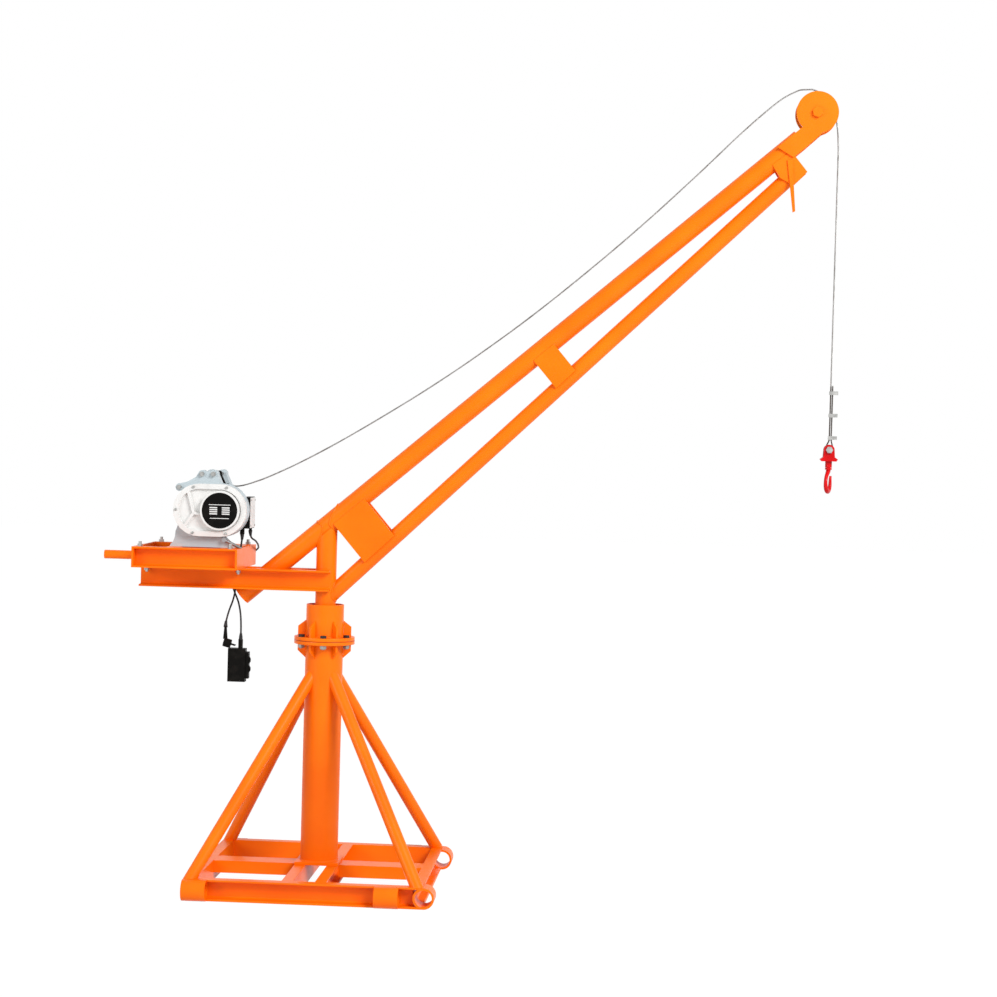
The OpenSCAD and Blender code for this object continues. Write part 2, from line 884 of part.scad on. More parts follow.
// Guide that hangs from a tie rod, with a sleeve round the rope
module rope_guide() {
    rod = lugs[2];
    eye = rod + guide_eye;
    color(black)
        difference() {
            union() {
                rod_y(rod[0], rod[1], -9, 9, 2 * tie_r);
                plate_xz([rod + [-7, -4], rod + [6, 6], eye + [7, 4], eye + [-7, 4]], -5, 10);
                translate([eye[0], 0, eye[1]])
                    rotate([0, 90, 0]) cylinder(r = 7.5, h = 34, center = true);
            }
            rod_y(rod[0], rod[1], -20, 20, tie_r + 0.1);
            translate([eye[0], 0, eye[1]])
                rotate([0, 90, 0]) cylinder(d = rope_d + 5, h = 60, center = true);
        }
}

module control_box() {
    color(black) {
        plate_xz([
            [box_right, box_z], [box_right, box_z + box_h], [box_right - 26, box_z + box_h],
            [box_right - 30, box_z + 40], [box_right - 38, box_z + 14], [box_right - 38, box_z]],
            box_y0, box_depth);
        translate([pendant_points[0][0], pendant_points[0][1], box_z - pendant_gland])
            cylinder(r = 9, h = pendant_gland + 1);
        translate([power_points[0][0], power_points[0][1], box_z - power_gland])
            cylinder(r = 6, h = power_gland + 1);
    }
}

module control_cover() {
    color(cast_white)
        translate([box_right, box_y0 + 2, box_z + 2])
            cube([3, box_depth - 4, box_h - 4]);
}

// ---- Head ----

module head_plates() {
    color(orange)
        on_axis(upper_z, upper_angle)
            difference() {
                union() {
                    plate_pair([
                        [upper_reach - 90, 28], [upper_reach + 48, 28], [sheave_s, sheave_t],
                        [sheave_s + 0.5 * head_r, sheave_t - 0.87 * head_r],
                        [upper_reach - 7, -40], [upper_reach - 68, -40]],
                        cheek_y, plate_t);
                    for (y = [cheek_y, -cheek_y - plate_t])
                        rod_y(sheave_s, sheave_t, y, y + plate_t, head_r);
                }
                rod_y(sheave_s, sheave_t, -2 * upper_d, 2 * upper_d, axle_d / 2 + weld_gap);
            }
}

// Plates that join the lower tube's end to the upper tube
module head_gussets() {
    top = upper_reach - 147;
    color(orange)
        on_axis(upper_z, upper_angle)
            difference() {
                plate_pair([
                    [top, -11], [top + 70, -14], [top + 88, -41], [top + 86, -116],
                    [top + 12, -121], [top - 9, -68]],
                    lower_r + weld_gap, plate_t);
                rod_along(top - 30, top + 120, upper_d + 2 * weld_gap);
            }
}

// Tapered flat bar that hangs from the near gusset
module guide_bar() {
    y = -lower_r - 2 * weld_gap - plate_t;
    s = upper_reach - 92;
    t = -32;
    top = [s * cos(upper_angle) - t * sin(upper_angle),
        upper_z + s * sin(upper_angle) + t * cos(upper_angle)];
    color(orange)
        plate_xz([top, top + [20, 0], top + [36, -195], top + [26, -200]], y - 6, 6);
}

module sheave_axle() {
    reach = cheek_y + plate_t;
    color(steel)
        on_axis(upper_z, upper_angle) {
            rod_y(sheave_s, sheave_t, -reach - 12, reach + 16, axle_d / 2);
            for (y = [-reach - 12, reach])
                translate([sheave_s, y, sheave_t])
                    rotate([-90, 0, 0]) hexagon(1.5 * axle_d, 12);
        }
}

module sheave() {
    hub = cheek_y - 1;
    color(steel)
        on_axis(upper_z, upper_angle)
            translate([sheave_s, 0, sheave_t])
                rotate([90, 0, 0])
                    rotate_extrude()
                        polygon([
                            [axle_d / 2 + running_fit, -hub], [axle_d / 2 + 12, -hub],
                            [axle_d / 2 + 12, -6], [groove_r - 8, -6], [groove_r - 5, -12],
                            [sheave_r, -12], [sheave_r, -9], [groove_r, -rope_d / 2 - 0.6],
                            [groove_r, rope_d / 2 + 0.6], [sheave_r, 9], [sheave_r, 12],
                            [groove_r - 5, 12], [groove_r - 8, 6], [axle_d / 2 + 12, 6],
                            [axle_d / 2 + 12, hub], [axle_d / 2 + running_fit, hub]]);
}

// ---- Rope, hook and cords ----

function unit(v) = v / norm(v);

// Points between the chosen ones, on one smooth curve
function smooth(p, n) = concat(
    [for (i = [0:len(p) - 2]) for (j = [0:n - 1])
        let (a = p[max(i - 1, 0)], b = p[i], c = p[i + 1], d = p[min(i + 2, len(p) - 1)], t = j / n)
        0.5 * (2 * b + (c - a) * t + (2 * a - 5 * b + 4 * c - d) * pow(t, 2)
            + (3 * b - a - 3 * c + d) * pow(t, 3))],
    [p[len(p) - 1]]);

// Tube through the points, with a radius at each; start and end can set the way its ends face
module sweep(p, radii, sides, start = undef, end = undef) {
    last = len(p) - 1;
    along = [for (i = [0:last])
        i == 0 && !is_undef(start) ? start
            : i == last && !is_undef(end) ? end
            : unit(p[min(i + 1, last)] - p[max(i - 1, 0)])];
    across = [for (v = along) unit(cross(v, [0, 1, 0]))];
    rings = [for (i = [0:last])
        let (u = across[i], w = cross(along[i], u))
        for (k = [0:sides - 1])
            p[i] + radii[i] * (u * cos(360 / sides * k) + w * sin(360 / sides * k))];
    polyhedron(
        points = rings,
        faces = concat(
            [[for (k = [0:sides - 1]) k]],
            [for (i = [0:last - 1]) for (k = [0:sides - 1])
                let (n = (k + 1) % sides)
                [i * sides + k, (i + 1) * sides + k, (i + 1) * sides + n, i * sides + n]],
            [[for (k = [sides - 1:-1:0]) last * sides + k]]),
        convexity = 8);
}

module cord(p, d, sides, start = undef, end = undef) {
    sweep(p, [for (q = p) d / 2], sides, start, end);
}

module hoist_rope() {
    color("Gray") cord(rope_points, rope_d, 8);
}

// Wire-rope clips: a saddle across both strands and a U-bolt with two nuts
module rope_clips() {
    color(zinc)
        for (z = clip_z)
            translate([hook_x + rope_d / 2 + 0.4, 0, z])
                difference() {
                    translate([-9, -8, -7]) cube([34, 16, 14]);
                    for (x = [-rope_d / 2 - 0.4, rope_d / 2 + 0.4])
                        translate([x, 0, -10]) cylinder(d = rope_d + 0.6, h = 20);
                    translate([10, -10, -10]) cube([20, 6, 20]);
                    translate([10, 4, -10]) cube([20, 6, 20]);
                }
}

// Forged yoke: two cheeks for the pin, side wings and a boss for the shank
module hook_yoke() {
    color("Red")
        translate([hook_x, 0, 0])
            difference() {
                union() {
                    for (y = [yoke_in, -yoke_out])
                        rod_y(0, pin_z, y, y + yoke_wall, 20);
                    plate_pair([[-20, pin_z], [20, pin_z], [22, shank_z - 6], [-22, shank_z - 6]],
                        yoke_in, yoke_wall);
                    plate_xz([
                        [-22, shank_z - 6], [22, shank_z - 6], [34, shank_z - 14],
                        [28, shank_z - 22], [-28, shank_z - 22], [-34, shank_z - 14]],
                        -yoke_out, 2 * yoke_out);
                    translate([0, 0, shank_z - 46]) cylinder(r = 13, h = 25);
                }
                rod_y(0, pin_z, -40, 40, pin_d / 2 + weld_gap);
                translate([0, 0, shank_z - 60]) cylinder(d = shank_d + 2 * running_fit, h = 60);
            }
}

module yoke_pin() {
    color(zinc)
        translate([hook_x, 0, 0]) {
            rod_y(0, pin_z, -yoke_out - pin_head, yoke_out + pin_head + 2, pin_d / 2);
            for (y = [-yoke_out - pin_head, yoke_out + weld_gap])
                translate([0, y, pin_z])
                    rotate([-90, 0, 0]) hexagon(1.5 * pin_d, pin_head - weld_gap);
        }
}

module hook_shank() {
    color("Red")
        translate([hook_x, 0, 0]) {
            translate([0, 0, shank_z - 54]) cylinder(r = 13, h = 7);
            translate([0, 0, shank_z - 54]) cylinder(d = shank_d, h = 54);
            translate([0, 0, shank_z - 6 + weld_gap]) hexagon(shank_nut, 6);
        }
}

module hook() {
    route = [
        [0, 54], [-3, 61], [-14, 70], [-26, 80], [-34, 94], [-35, 108], [-29, 122],
        [-16, 132], [0, 136], [16, 132], [28, 121], [32, 106], [33, 92], [36, 79]];
    radii = [9, 9, 9, 9.5, 10, 10.5, 11, 11.5, 11, 10, 9, 7.5, 6, 4.5];
    color("Red")
        translate([hook_x, 0, shank_z])
            rotate([0, 0, hook_turn])
                sweep([for (q = route) [q[0], 0, -q[1]]], radii, 12, down);
}

module pendant_cord() {
    color(black) cord(smooth(pendant_points, 2), cord_d, 8, down, down);
}

module power_cord() {
    color(black) cord(power_points, cord_d, 8, down, down);
}

// Handset: a body, a narrower side panel and the gland on top
module pendant() {
    p = pendant_points[len(pendant_points) - 1];
    color(black)
        translate([p[0], p[1], p[2]]) {
            translate([-46, -20, -164]) cube([68, 40, 130]);
            translate([22, -15, -151]) cube([13, 30, 104]);
            translate([0, 0, -34]) cylinder(r = 9, h = 34);
        }
}

// Round plug with its strain relief and two pins
module plug() {
    p = power_points[len(power_points) - 1];
    color(black)
        translate([p[0], p[1], p[2]]) {
            translate([0, 0, -46]) cylinder(r1 = 9, r2 = 5, h = 46);
            translate([8, 0, -62])
                rotate([0, 105, 0]) {
                    translate([0, 0, -14]) cylinder(r = 17, h = 28);
                    for (y = [-9.5, 9.5])
                        translate([0, y, 14]) cylinder(r = 2.4, h = 19);
                }
        }
}

front_channel();
right_channel();
rear_channel();
left_channel();
spine_channels();
cross_channels();
foot_plate();
front_sockets();
rear_sockets();
right_sockets();
column();
column_flange();
collar_flange();
collar();
flange_bolts();
braces();
footstep_bearing();
collar_bush();
mast();
upper_tube();
lower_tube();
root_plates();
middle_plates();
tail_channels();
tray_rails();
tray_ends();
winch_bed();
tray_studs();
tail_bolts();
push_handle();
head_plates();
head_gussets();
guide_bar();
sheave_axle();
sheave();
gear_case();
gear_cover();
nameplate();
motor_case();
motor();
tie_rods();
winch_stay();
drum();
wound_rope();
rope_guide();
control_box();
control_cover();
hoist_rope();
rope_clips();
hook_yoke();
yoke_pin();
hook_shank();
hook();
pendant_cord();
pendant();
power_cord();
plug();
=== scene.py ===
import json
import math

import bmesh
import bpy
from mathutils import Matrix, Vector


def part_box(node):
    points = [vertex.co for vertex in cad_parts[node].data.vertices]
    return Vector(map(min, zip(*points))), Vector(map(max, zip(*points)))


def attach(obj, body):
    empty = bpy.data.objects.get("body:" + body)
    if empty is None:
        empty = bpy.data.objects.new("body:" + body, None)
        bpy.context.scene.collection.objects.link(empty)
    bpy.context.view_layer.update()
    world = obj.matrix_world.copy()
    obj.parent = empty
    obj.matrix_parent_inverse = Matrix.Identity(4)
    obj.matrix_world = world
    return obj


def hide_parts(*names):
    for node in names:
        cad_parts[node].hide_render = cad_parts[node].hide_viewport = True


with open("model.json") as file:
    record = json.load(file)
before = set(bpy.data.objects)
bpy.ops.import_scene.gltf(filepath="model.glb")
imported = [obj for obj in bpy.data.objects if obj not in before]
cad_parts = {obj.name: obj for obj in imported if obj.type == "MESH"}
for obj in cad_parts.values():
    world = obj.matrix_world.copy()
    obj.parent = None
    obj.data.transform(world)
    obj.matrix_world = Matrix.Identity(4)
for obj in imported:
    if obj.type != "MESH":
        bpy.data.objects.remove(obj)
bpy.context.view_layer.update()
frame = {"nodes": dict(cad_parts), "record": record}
scene = bpy.context.scene

# ---- Camera ----
# It stands nine metres in front of the crane, a little to the right of the
# mast, at about half the crane's height, and looks slightly down to the left.
camera_data = bpy.data.cameras.new("camera")
camera_data.sensor_width = 36
camera_data.lens = 84.28
camera = bpy.data.objects.new("camera", camera_data)
scene.collection.objects.link(camera)
right = Vector((0.99779, 0.0605, 0.02749))
up = Vector((-0.02911, 0.0261, 0.99923))
forward = Vector((-0.05974, 0.99783, -0.0278))
camera.matrix_world = (
    Matrix.Translation((1.20465, -9.02592, 1.77192))
    @ Matrix((right, up, -forward)).transposed().to_4x4()
)
scene.camera = camera

# ---- Pendant cord and power cord ----
# Two rubber-sheathed leads out of the control box's glands. They drop inside
# the tray and hang between the tail channels, one to the handset, one to a plug.


class Socket:
    """A number that varies over a surface. Sums and products add Math nodes."""

    def __init__(self, nodes, out):
        self.nodes, self.out = nodes, out

    def math(self, operation, a, b):
        return self.nodes.node("ShaderNodeMath", {"operation": operation}, {0: a, 1: b})

    def __add__(self, other):
        return self.math("ADD", self, other)

    def __sub__(self, other):
        return self.math("SUBTRACT", self, other)

    def __rsub__(self, other):
        return self.math("SUBTRACT", other, self)

    def __mul__(self, other):
        return self.math("MULTIPLY", self, other)

    __radd__, __rmul__ = __add__, __mul__

    def __abs__(self):
        return self.math("ABSOLUTE", self, 0)


class Nodes:
    """Adds nodes to one tree and links them to what they read."""

    def __init__(self, tree):
        self.tree = tree

    def node(self, kind, settings=None, inputs=None, output=0):
        made = self.tree.nodes.new(kind)
        for key, value in (settings or {}).items():
            if key == "stops":
                ramp = made.color_ramp.elements
                for element, (at, level) in zip(ramp, value):
                    element.position, element.color = at, (level, level, level, 1)
            else:
                setattr(made, key, value)
        for key, value in (inputs or {}).items():
            self.put(made.inputs[key], value)
        return Socket(self, made.outputs[output]) if len(made.outputs) else None

    def put(self, socket, value):
        if isinstance(value, Socket):
            self.tree.links.new(value.out, socket)
        else:
            socket.default_value = value


class Finish(Nodes):
    """One material: a Principled shader, with whatever varies linked into it."""

    def __init__(self, name, **values):
        self.material = bpy.data.materials.new(name)
        self.material.use_nodes = True
        super().__init__(self.material.node_tree)
        self.shader = self.tree.nodes["Principled BSDF"]
        self.shade(**values)

    def shade(self, **values):
        for key, value in values.items():
            self.put(self.shader.inputs[key.replace("_", " ").title().replace("Ior", "IOR")], value)

    def noise(self, scale, detail=3):
        place = self.node("ShaderNodeTexCoord", output="Object")
        return self.node("ShaderNodeTexNoise", inputs={"Vector": place, "Scale": scale, "Detail": detail})

    def height(self, axis=2):
        """Object coordinate along an axis, the upright one unless another is given."""
        place = self.node("ShaderNodeTexCoord", output="Object")
        return self.node("ShaderNodeSeparateXYZ", inputs={"Vector": place}, output=axis)

    def ramp(self, value, low, high):
        return self.node("ShaderNodeValToRGB", {"stops": [(low, 0), (high, 1)]}, {"Fac": value})

    def mix(self, factor, a, b):
        return self.node("ShaderNodeMix", {"data_type": "RGBA"}, {0: factor, 6: a, 7: b}, output=2)

    def bump(self, height, depth):
        normal = self.node("ShaderNodeBump", inputs={"Height": height, "Distance": depth, "Strength": 1})
        self.put(self.shader.inputs["Normal"], normal)


def sheath():
    f = Finish("cord sheath", specular_ior_level=0.25)
    dust = f.ramp(f.noise(45), 0.45, 0.75)
    f.shade(base_color=f.mix(dust * 0.35, (0.012, 0.012, 0.013, 1), (0.07, 0.065, 0.06, 1)))
    f.bump(f.noise(900, 2), 0.00015)
    return f.material


def through(points, steps):
    """Points on one smooth curve through the given ones, in metres."""
    p = [Vector(q) for q in points]
    made = []
    for i in range(len(p) - 1):
        a, b, c, d = p[max(i - 1, 0)], p[i], p[i + 1], p[min(i + 2, len(p) - 1)]
        for j in range(steps):
            t = j / steps
            made.append(0.5 * (2 * b + (c - a) * t + (2 * a - 5 * b + 4 * c - d) * t**2
                               + (3 * b - a - 3 * c + d) * t**3))
    return made + [p[-1]]


def lead(name, points, diameter):
    """A round rubber lead along the points, in place of its CAD cord."""
    path = through(points, 3)
    curve = bpy.data.curves.new(name, "CURVE")
    curve.dimensions = "3D"
    curve.bevel_depth, curve.bevel_resolution, curve.use_fill_caps = diameter / 2, 4, True
    spline = curve.splines.new("POLY")
    spline.points.add(len(path) - 1)
    for point, place in zip(spline.points, path):
        point.co = (*place, 1)
    curve.materials.append(sheath_rubber)
    made = bpy.data.objects.new(name, curve)
    scene.collection.objects.link(made)
    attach(made, "upper_works")
    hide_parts(name.replace("_lead", "_cord"))
    length = sum((b - a).length for a, b in zip(path, path[1:]))


sheath_rubber = sheath()
cord_diameter = 0.007
pendant_route = [
    (-0.326, -0.045, 1.355), (-0.326, -0.045, 1.338), (-0.329, -0.042, 1.315),
    (-0.333, -0.037, 1.293), (-0.338, -0.032, 1.272), (-0.352, -0.024, 1.252),
    (-0.37, -0.014, 1.23), (-0.372, -0.01, 1.195), (-0.367, -0.008, 1.155),
    (-0.354, -0.008, 1.12), (-0.34, -0.008, 1.085), (-0.331, -0.008, 1.04),
    (-0.328, -0.008, 0.99), (-0.328, -0.008, 0.941)]
power_route = [
    (-0.306, 0.026, 1.367), (-0.306, 0.026, 1.36), (-0.3055, 0.0277, 1.3501),
    (-0.3038, 0.0328, 1.3414), (-0.301, 0.0405, 1.3349), (-0.2985, 0.0475, 1.332),
    (-0.2946, 0.067, 1.3267), (-0.2925, 0.088, 1.321), (-0.293, 0.135, 1.308), (-0.298, 0.18, 1.297),
    (-0.307, 0.226, 1.287), (-0.33, 0.246, 1.266), (-0.354, 0.244, 1.236),
    (-0.37, 0.218, 1.203), (-0.376, 0.17, 1.17), (-0.374, 0.118, 1.14),
    (-0.369, 0.066, 1.115), (-0.369, 0.026, 1.088), (-0.377, -0.006, 1.052),
    (-0.383, -0.032, 1.012), (-0.383, -0.04, 0.991)]
lead("pendant_lead", pendant_route, cord_diameter)
lead("power_lead", power_route, cord_diameter)

# ---- Strain reliefs ----
# Ribbed rubber sleeves moulded on the leads where they enter the control box,
# the handset and the plug. Each tapers from the gland down to the cord.


def rings(bm, places, sides):
    """A capped tube through the placed unit circles."""
    made = bmesh.ops.create_circle(bm, cap_ends=True, segments=sides, radius=1, matrix=places[0])
    ring = set(made["verts"])
    edges = [e for e in bm.edges if e.verts[0] in ring and e.verts[1] in ring]
    for before, after in zip(places, places[1:]):
        grown = bmesh.ops.extrude_edge_only(bm, edges=edges)["geom"]
        verts = [g for g in grown if isinstance(g, bmesh.types.BMVert)]
        there = set(verts)
        edges = [g for g in grown if isinstance(g, bmesh.types.BMEdge)
                 and g.verts[0] in there and g.verts[1] in there]
        bmesh.ops.transform(bm, matrix=after @ before.inverted(), verts=verts)
    bmesh.ops.edgeloop_fill(bm, edges=edges)


def along(path, radii):
    """Places for rings along a path, without twist, one radius to each point."""
    places, turn, last = [], None, None
    for i, (point, radius) in enumerate(zip(path, radii)):
        heading = (path[min(i + 1, len(path) - 1)] - path[max(i - 1, 0)]).normalized()
        turn = heading.to_track_quat("Z", "Y") if last is None else last.rotation_difference(heading) @ turn
        last = heading
        places.append(Matrix.Translation(point) @ turn.to_matrix().to_4x4()
                      @ Matrix.Diagonal((radius, radius, radius, 1)))
    return places


def lathe(bm, base, axis, profile, sides=32):
    """A turned form on an axis; the profile gives distance along it and radius."""
    turn = Vector(axis).to_track_quat("Z", "Y").to_matrix().to_4x4()
    rings(bm, [Matrix.Translation(Vector(base) + Vector(axis).normalized() * s) @ turn
               @ Matrix.Diagonal((r, r, r, 1)) for s, r in profile], sides)


def piece(name, bm, body, material, angle=35):
    """Closes the mesh and hangs it on its body; edges sharper than the angle stay sharp."""
    bmesh.ops.remove_doubles(bm, verts=bm.verts, dist=1e-6)
    bmesh.ops.recalc_face_normals(bm, faces=bm.faces)
    for face in bm.faces:
        face.smooth = True
    for edge in bm.edges:
        edge.smooth = len(edge.link_faces) == 2 and edge.calc_face_angle(0) < math.radians(angle)
    mesh = bpy.data.meshes.new(name)
    bm.to_mesh(mesh)
    bm.free()
    mesh.materials.append(material)
    made = bpy.data.objects.new(name, mesh)
    scene.collection.objects.link(made)
    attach(made, body)
    return made


relief_root, relief_taper, rib_gap, rib_height = 0.0082, 0.0038, 0.004, 0.0005


def relief(name, route, length):
    """A ribbed sleeve over the start of a route, thick at the gland."""
    path, walked, radii = [], 0, []
    points = through(route, 12)
    for a, b in zip(points, points[1:]):
        if walked > length:
            break
        path.append(a)
        rib = rib_height * math.cos(walked * 2 * math.pi / rib_gap)
        radii.append(relief_root - relief_taper * walked / length + rib)
        walked += (b - a).length
    bm = bmesh.new()
    rings(bm, along(path, radii), 20)
    piece(name, bm, "upper_works", sheath_rubber, 60)


relief("pendant_cord_relief", pendant_route, 0.024)
relief("power_cord_relief", power_route, 0.022)
relief("handset_relief", pendant_route[::-1], 0.03)
relief("plug_relief", power_route[::-1], 0.026)

# ---- Floor and light ----
# A plain white studio: a soft key light from the right and above, a weaker
# one from the left, and a white surround that shows in gloss and behind.
bpy.ops.mesh.primitive_plane_add(size=60)
floor = bpy.context.object
floor.name = "floor"


def white_to_camera(name, level):
    """Floor material: white where it is seen or mirrored, a plain pale floor to the light."""
    f = Finish(name, base_color=(level, level, level, 1), roughness=0.9)
    white = f.node("ShaderNodeEmission", inputs={"Color": (1, 1, 1, 1), "Strength": 1.05})
    seen = f.node("ShaderNodeLightPath", output="Is Camera Ray")
    glossy = f.node("ShaderNodeLightPath", output="Is Glossy Ray")
    sent = f.node("ShaderNodeLightPath", output="Is Transmission Ray")
    share = f.node("ShaderNodeMath", {"operation": "ADD", "use_clamp": True}, {0: glossy, 1: sent})
    # The camera still sees a trace of the floor itself, and so the crane's shadow.
    share = f.node("ShaderNodeMath", {"operation": "MAXIMUM"}, {0: share, 1: seen * 0.93})
    both = f.node("ShaderNodeMixShader", inputs={
        0: share, 1: Socket(f, f.shader.outputs[0]), 2: white})
    f.put(f.tree.nodes["Material Output"].inputs["Surface"], both)
    return f.material


floor.data.materials.append(white_to_camera("floor", 0.8))
world = bpy.data.worlds.new("surround")
scene.world = world
world.use_nodes = True
world.node_tree.nodes.clear()
surround = Nodes(world.node_tree)
camera_ray, glossy_ray, sent_ray = (
    surround.node("ShaderNodeLightPath", output=f"Is {ray} Ray")
    for ray in ("Camera", "Glossy", "Transmission"))
either = surround.node("ShaderNodeMath", {"operation": "MAXIMUM"}, {0: camera_ray, 1: glossy_ray})
either = surround.node("ShaderNodeMath", {"operation": "MAXIMUM"}, {0: either, 1: sent_ray})
plain, white = (
    surround.node("ShaderNodeBackground", inputs={"Color": (1, 1, 1, 1), "Strength": strength})
    for strength in (0.4, 1.0))
both = surround.node("ShaderNodeMixShader", inputs={0: either, 1: plain, 2: white})
surround.node("ShaderNodeOutputWorld", inputs={"Surface": both})


def lamp(name, place, target, size, watts):
    """A square soft lamp that faces the target."""
    data = bpy.data.lights.new(name, "AREA")
    data.size, data.energy = size, watts
    made = bpy.data.objects.new(name, data)
    scene.collection.objects.link(made)
    made.location = place
    made.rotation_euler = (Vector(target) - Vector(place)).to_track_quat("-Z", "Y").to_euler()


lamp("key", (5.5, -5.5, 6.0), (0.4, 0, 1.4), 3.5, 740)
lamp("fill", (-5.0, -4.5, 3.0), (0, 0, 1.2), 3.0, 150)

# ---- Orange enamel ----
# All the welded steelwork is sprayed with one coat of gloss orange enamel
# after welding, so it lies over the beads. Its edges are slightly rounded, and
# dirt darkens the line where the two flanges meet.


def enamel(name, joint=0):
    """The orange coat; near the height of a joint it darkens with the dirt held there."""
    f = Finish(name, specular_ior_level=0.12, coat_weight=0.06, coat_roughness=0.15)
    patch = f.ramp(f.noise(3.5, 4), 0.35, 0.7)
    colour = f.mix(patch, (0.93, 0.15, 0.001, 1), (1.0, 0.19, 0.002, 1))
    specks = f.ramp(f.noise(160, 2), 0.74, 0.8)
    colour = f.mix(specks * 0.35, colour, (0.45, 0.05, 0.002, 1))
    if joint:
        off = abs(f.height() - joint) * 200
        colour = f.mix(f.ramp(off, 0.2, 0.5), (0.5, 0.05, 0.003, 1), colour)
    f.shade(base_color=colour, roughness=f.noise(40, 3) * 0.16 + 0.27)
    f.bump(f.noise(420, 2) * 0.6 + f.noise(60, 2) * 0.4, 0.0004)
    return f.material


def coat(material, *names):
    """Gives the named CAD nodes that finish."""
    for name in names:
        mesh = frame["nodes"][name].data
        mesh.materials.clear()
        mesh.materials.append(material)


def soften(width, *names):
    """Rounds the named CAD nodes' edges with a modifier, so that they catch the light."""
    for name in names:
        seams = frame["nodes"][name].modifiers.new("joined seams", "WELD")
        seams.merge_threshold = 1e-5
        edge = frame["nodes"][name].modifiers.new("rounded edges", "BEVEL")
        edge.width, edge.segments, edge.limit_method = width, 2, "ANGLE"
        edge.angle_limit, edge.material, edge.harden_normals = math.radians(40), -1, True


orange = enamel("orange enamel")
coat(orange, *[s["node"] for s in frame["record"]["subparts"] if s["material_slot"] == "orange_paint"])
coat(orange, "sheave_axle")
flange_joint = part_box("collar_flange")[0][2]
coat(enamel("flange enamel", flange_joint), "column_flange", "collar_flange")
soften(0.0015, "front_channel", "rear_channel", "left_channel", "right_channel", "spine_channels",
       "cross_channels", "tail_channels", "tray_rails", "tray_ends", "head_plates", "head_gussets",
       "root_plates", "middle_plates", "foot_plate", "guide_bar")
soften(0.003, "column_flange", "collar_flange")

# ---- Weld beads ----
# Hand-laid arc welds at the column's foot, its flanges, the frame's mitres and
# the coped tube ends, each a row of overlapping ripples under the enamel.


def bead(name, path, radius, body):
    """A rippled weld bead along the path."""
    bm = bmesh.new()
    radii = [radius * (1 + 0.13 * math.sin(i * 2.1)) for i in range(len(path))]
    rings(bm, along(path, radii), 8)
    piece(name, bm, body, orange, 75)


def hoop(z, radius, steps=150):
    """A level ring about the column's axis."""
    turn = 2 * math.pi / steps
    return [Vector((radius * math.cos(i * turn), radius * math.sin(i * turn), z)) for i in range(steps + 1)]


def cope(height, angle, tube, mast, side, steps=90):
    """Where a tube at an angle to the ground runs into the mast."""
    lean, made = math.radians(angle), []
    for i in range(steps + 1):
        a = 2 * math.pi * i / steps
        y, rise = tube * math.sin(a), tube * math.cos(a)
        x = side * math.sqrt(mast**2 - y**2)
        s = (x + rise * math.sin(lean)) / math.cos(lean)
        made.append(Vector((x, y, height + s * math.sin(lean) + rise * math.cos(lean))))
    return made


column_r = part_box("column")[1][0]
mast_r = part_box("mast")[1][1]
foot_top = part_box("foot_plate")[1][2]
bead("column_foot_weld", hoop(foot_top, column_r), 0.0035, "base")
bead("column_flange_weld", hoop(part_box("column")[1][2], column_r), 0.003, "base")
bead("collar_flange_weld", hoop(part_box("collar")[0][2], column_r), 0.003, "base")
# Each jib tube: the height where it crosses the mast's axis, its angle and its radius.
upper_tube, lower_tube = (1.396, 40.7, 0.038), (1.105, 43.85, 0.03)
bead("upper_tube_front_weld", cope(*upper_tube, mast_r, 1), 0.003, "upper_works")
bead("upper_tube_rear_weld", cope(*upper_tube, mast_r, -1), 0.003, "upper_works")
bead("lower_tube_weld", cope(*lower_tube, mast_r, 1), 0.003, "upper_works")
corners = (("front_right", 1, -1), ("front_left", -1, -1), ("rear_right", 1, 1), ("rear_left", -1, 1))
mitre_out, mitre_step, mitre_z = 0.446, 0.0024, 0.0795
for name, x, y in corners:
    line = [Vector((x * (mitre_out - mitre_step * i), y * (mitre_out - mitre_step * i), mitre_z))
            for i in range(16)]
    bead(name + "_mitre_weld", line, 0.0022, "base")

# ---- Bolts, studs and clips ----
# Bought zinc-plated fasteners, streaked where the plating ran, fitted after
# painting. The flange bolts are blacked above the joint, with bright nuts under it.


def plating():
    f = Finish("zinc plate", metallic=0.9, roughness=0.35)
    streak = f.ramp(f.noise(60, 4), 0.35, 0.7)
    f.shade(base_color=f.mix(streak, (0.34, 0.34, 0.33, 1), (0.52, 0.52, 0.5, 1)),
            roughness=f.noise(90, 3) * 0.25 + 0.22)
    f.bump(f.noise(500, 2), 0.0002)
    return f.material


def blacking():
    f = Finish("blacked steel", metallic=0.7, specular_ior_level=0.3)
    rust = f.ramp(f.noise(120, 4), 0.62, 0.72)
    above = f.ramp((f.height() - flange_joint) * 100 + 0.5, 0.3, 0.7)
    bare = f.mix(above, (0.3, 0.29, 0.27, 1), (0.04, 0.035, 0.032, 1))
    f.shade(base_color=f.mix(rust * 0.5, bare, (0.16, 0.07, 0.03, 1)),
            roughness=f.noise(150, 3) * 0.25 + 0.35)
    f.bump(f.noise(600, 2), 0.0003)
    return f.material


zinc = plating()
coat(blacking(), "flange_bolts")
coat(zinc, "tray_studs", "tail_bolts", "tie_rods", "rope_clips", "yoke_pin")

# ---- Bearings, sheave and drum ----
# Turned steel, left bare: the mast's two bearings, the head sheave, the winch's
# stay and its drum. Oil darkens them in patches.


def turned():
    f = Finish("turned steel", metallic=1.0, roughness=0.38)
    oil = f.ramp(f.noise(18, 4), 0.4, 0.7)
    f.shade(base_color=f.mix(oil, (0.36, 0.36, 0.37, 1), (0.2, 0.19, 0.18, 1)),
            roughness=f.noise(200, 2) * 0.2 + 0.26)
    f.bump(f.noise(700, 2), 0.0002)
    return f.material


bare_steel = turned()
coat(bare_steel, "footstep_bearing", "collar_bush", "sheave", "winch_stay", "drum")

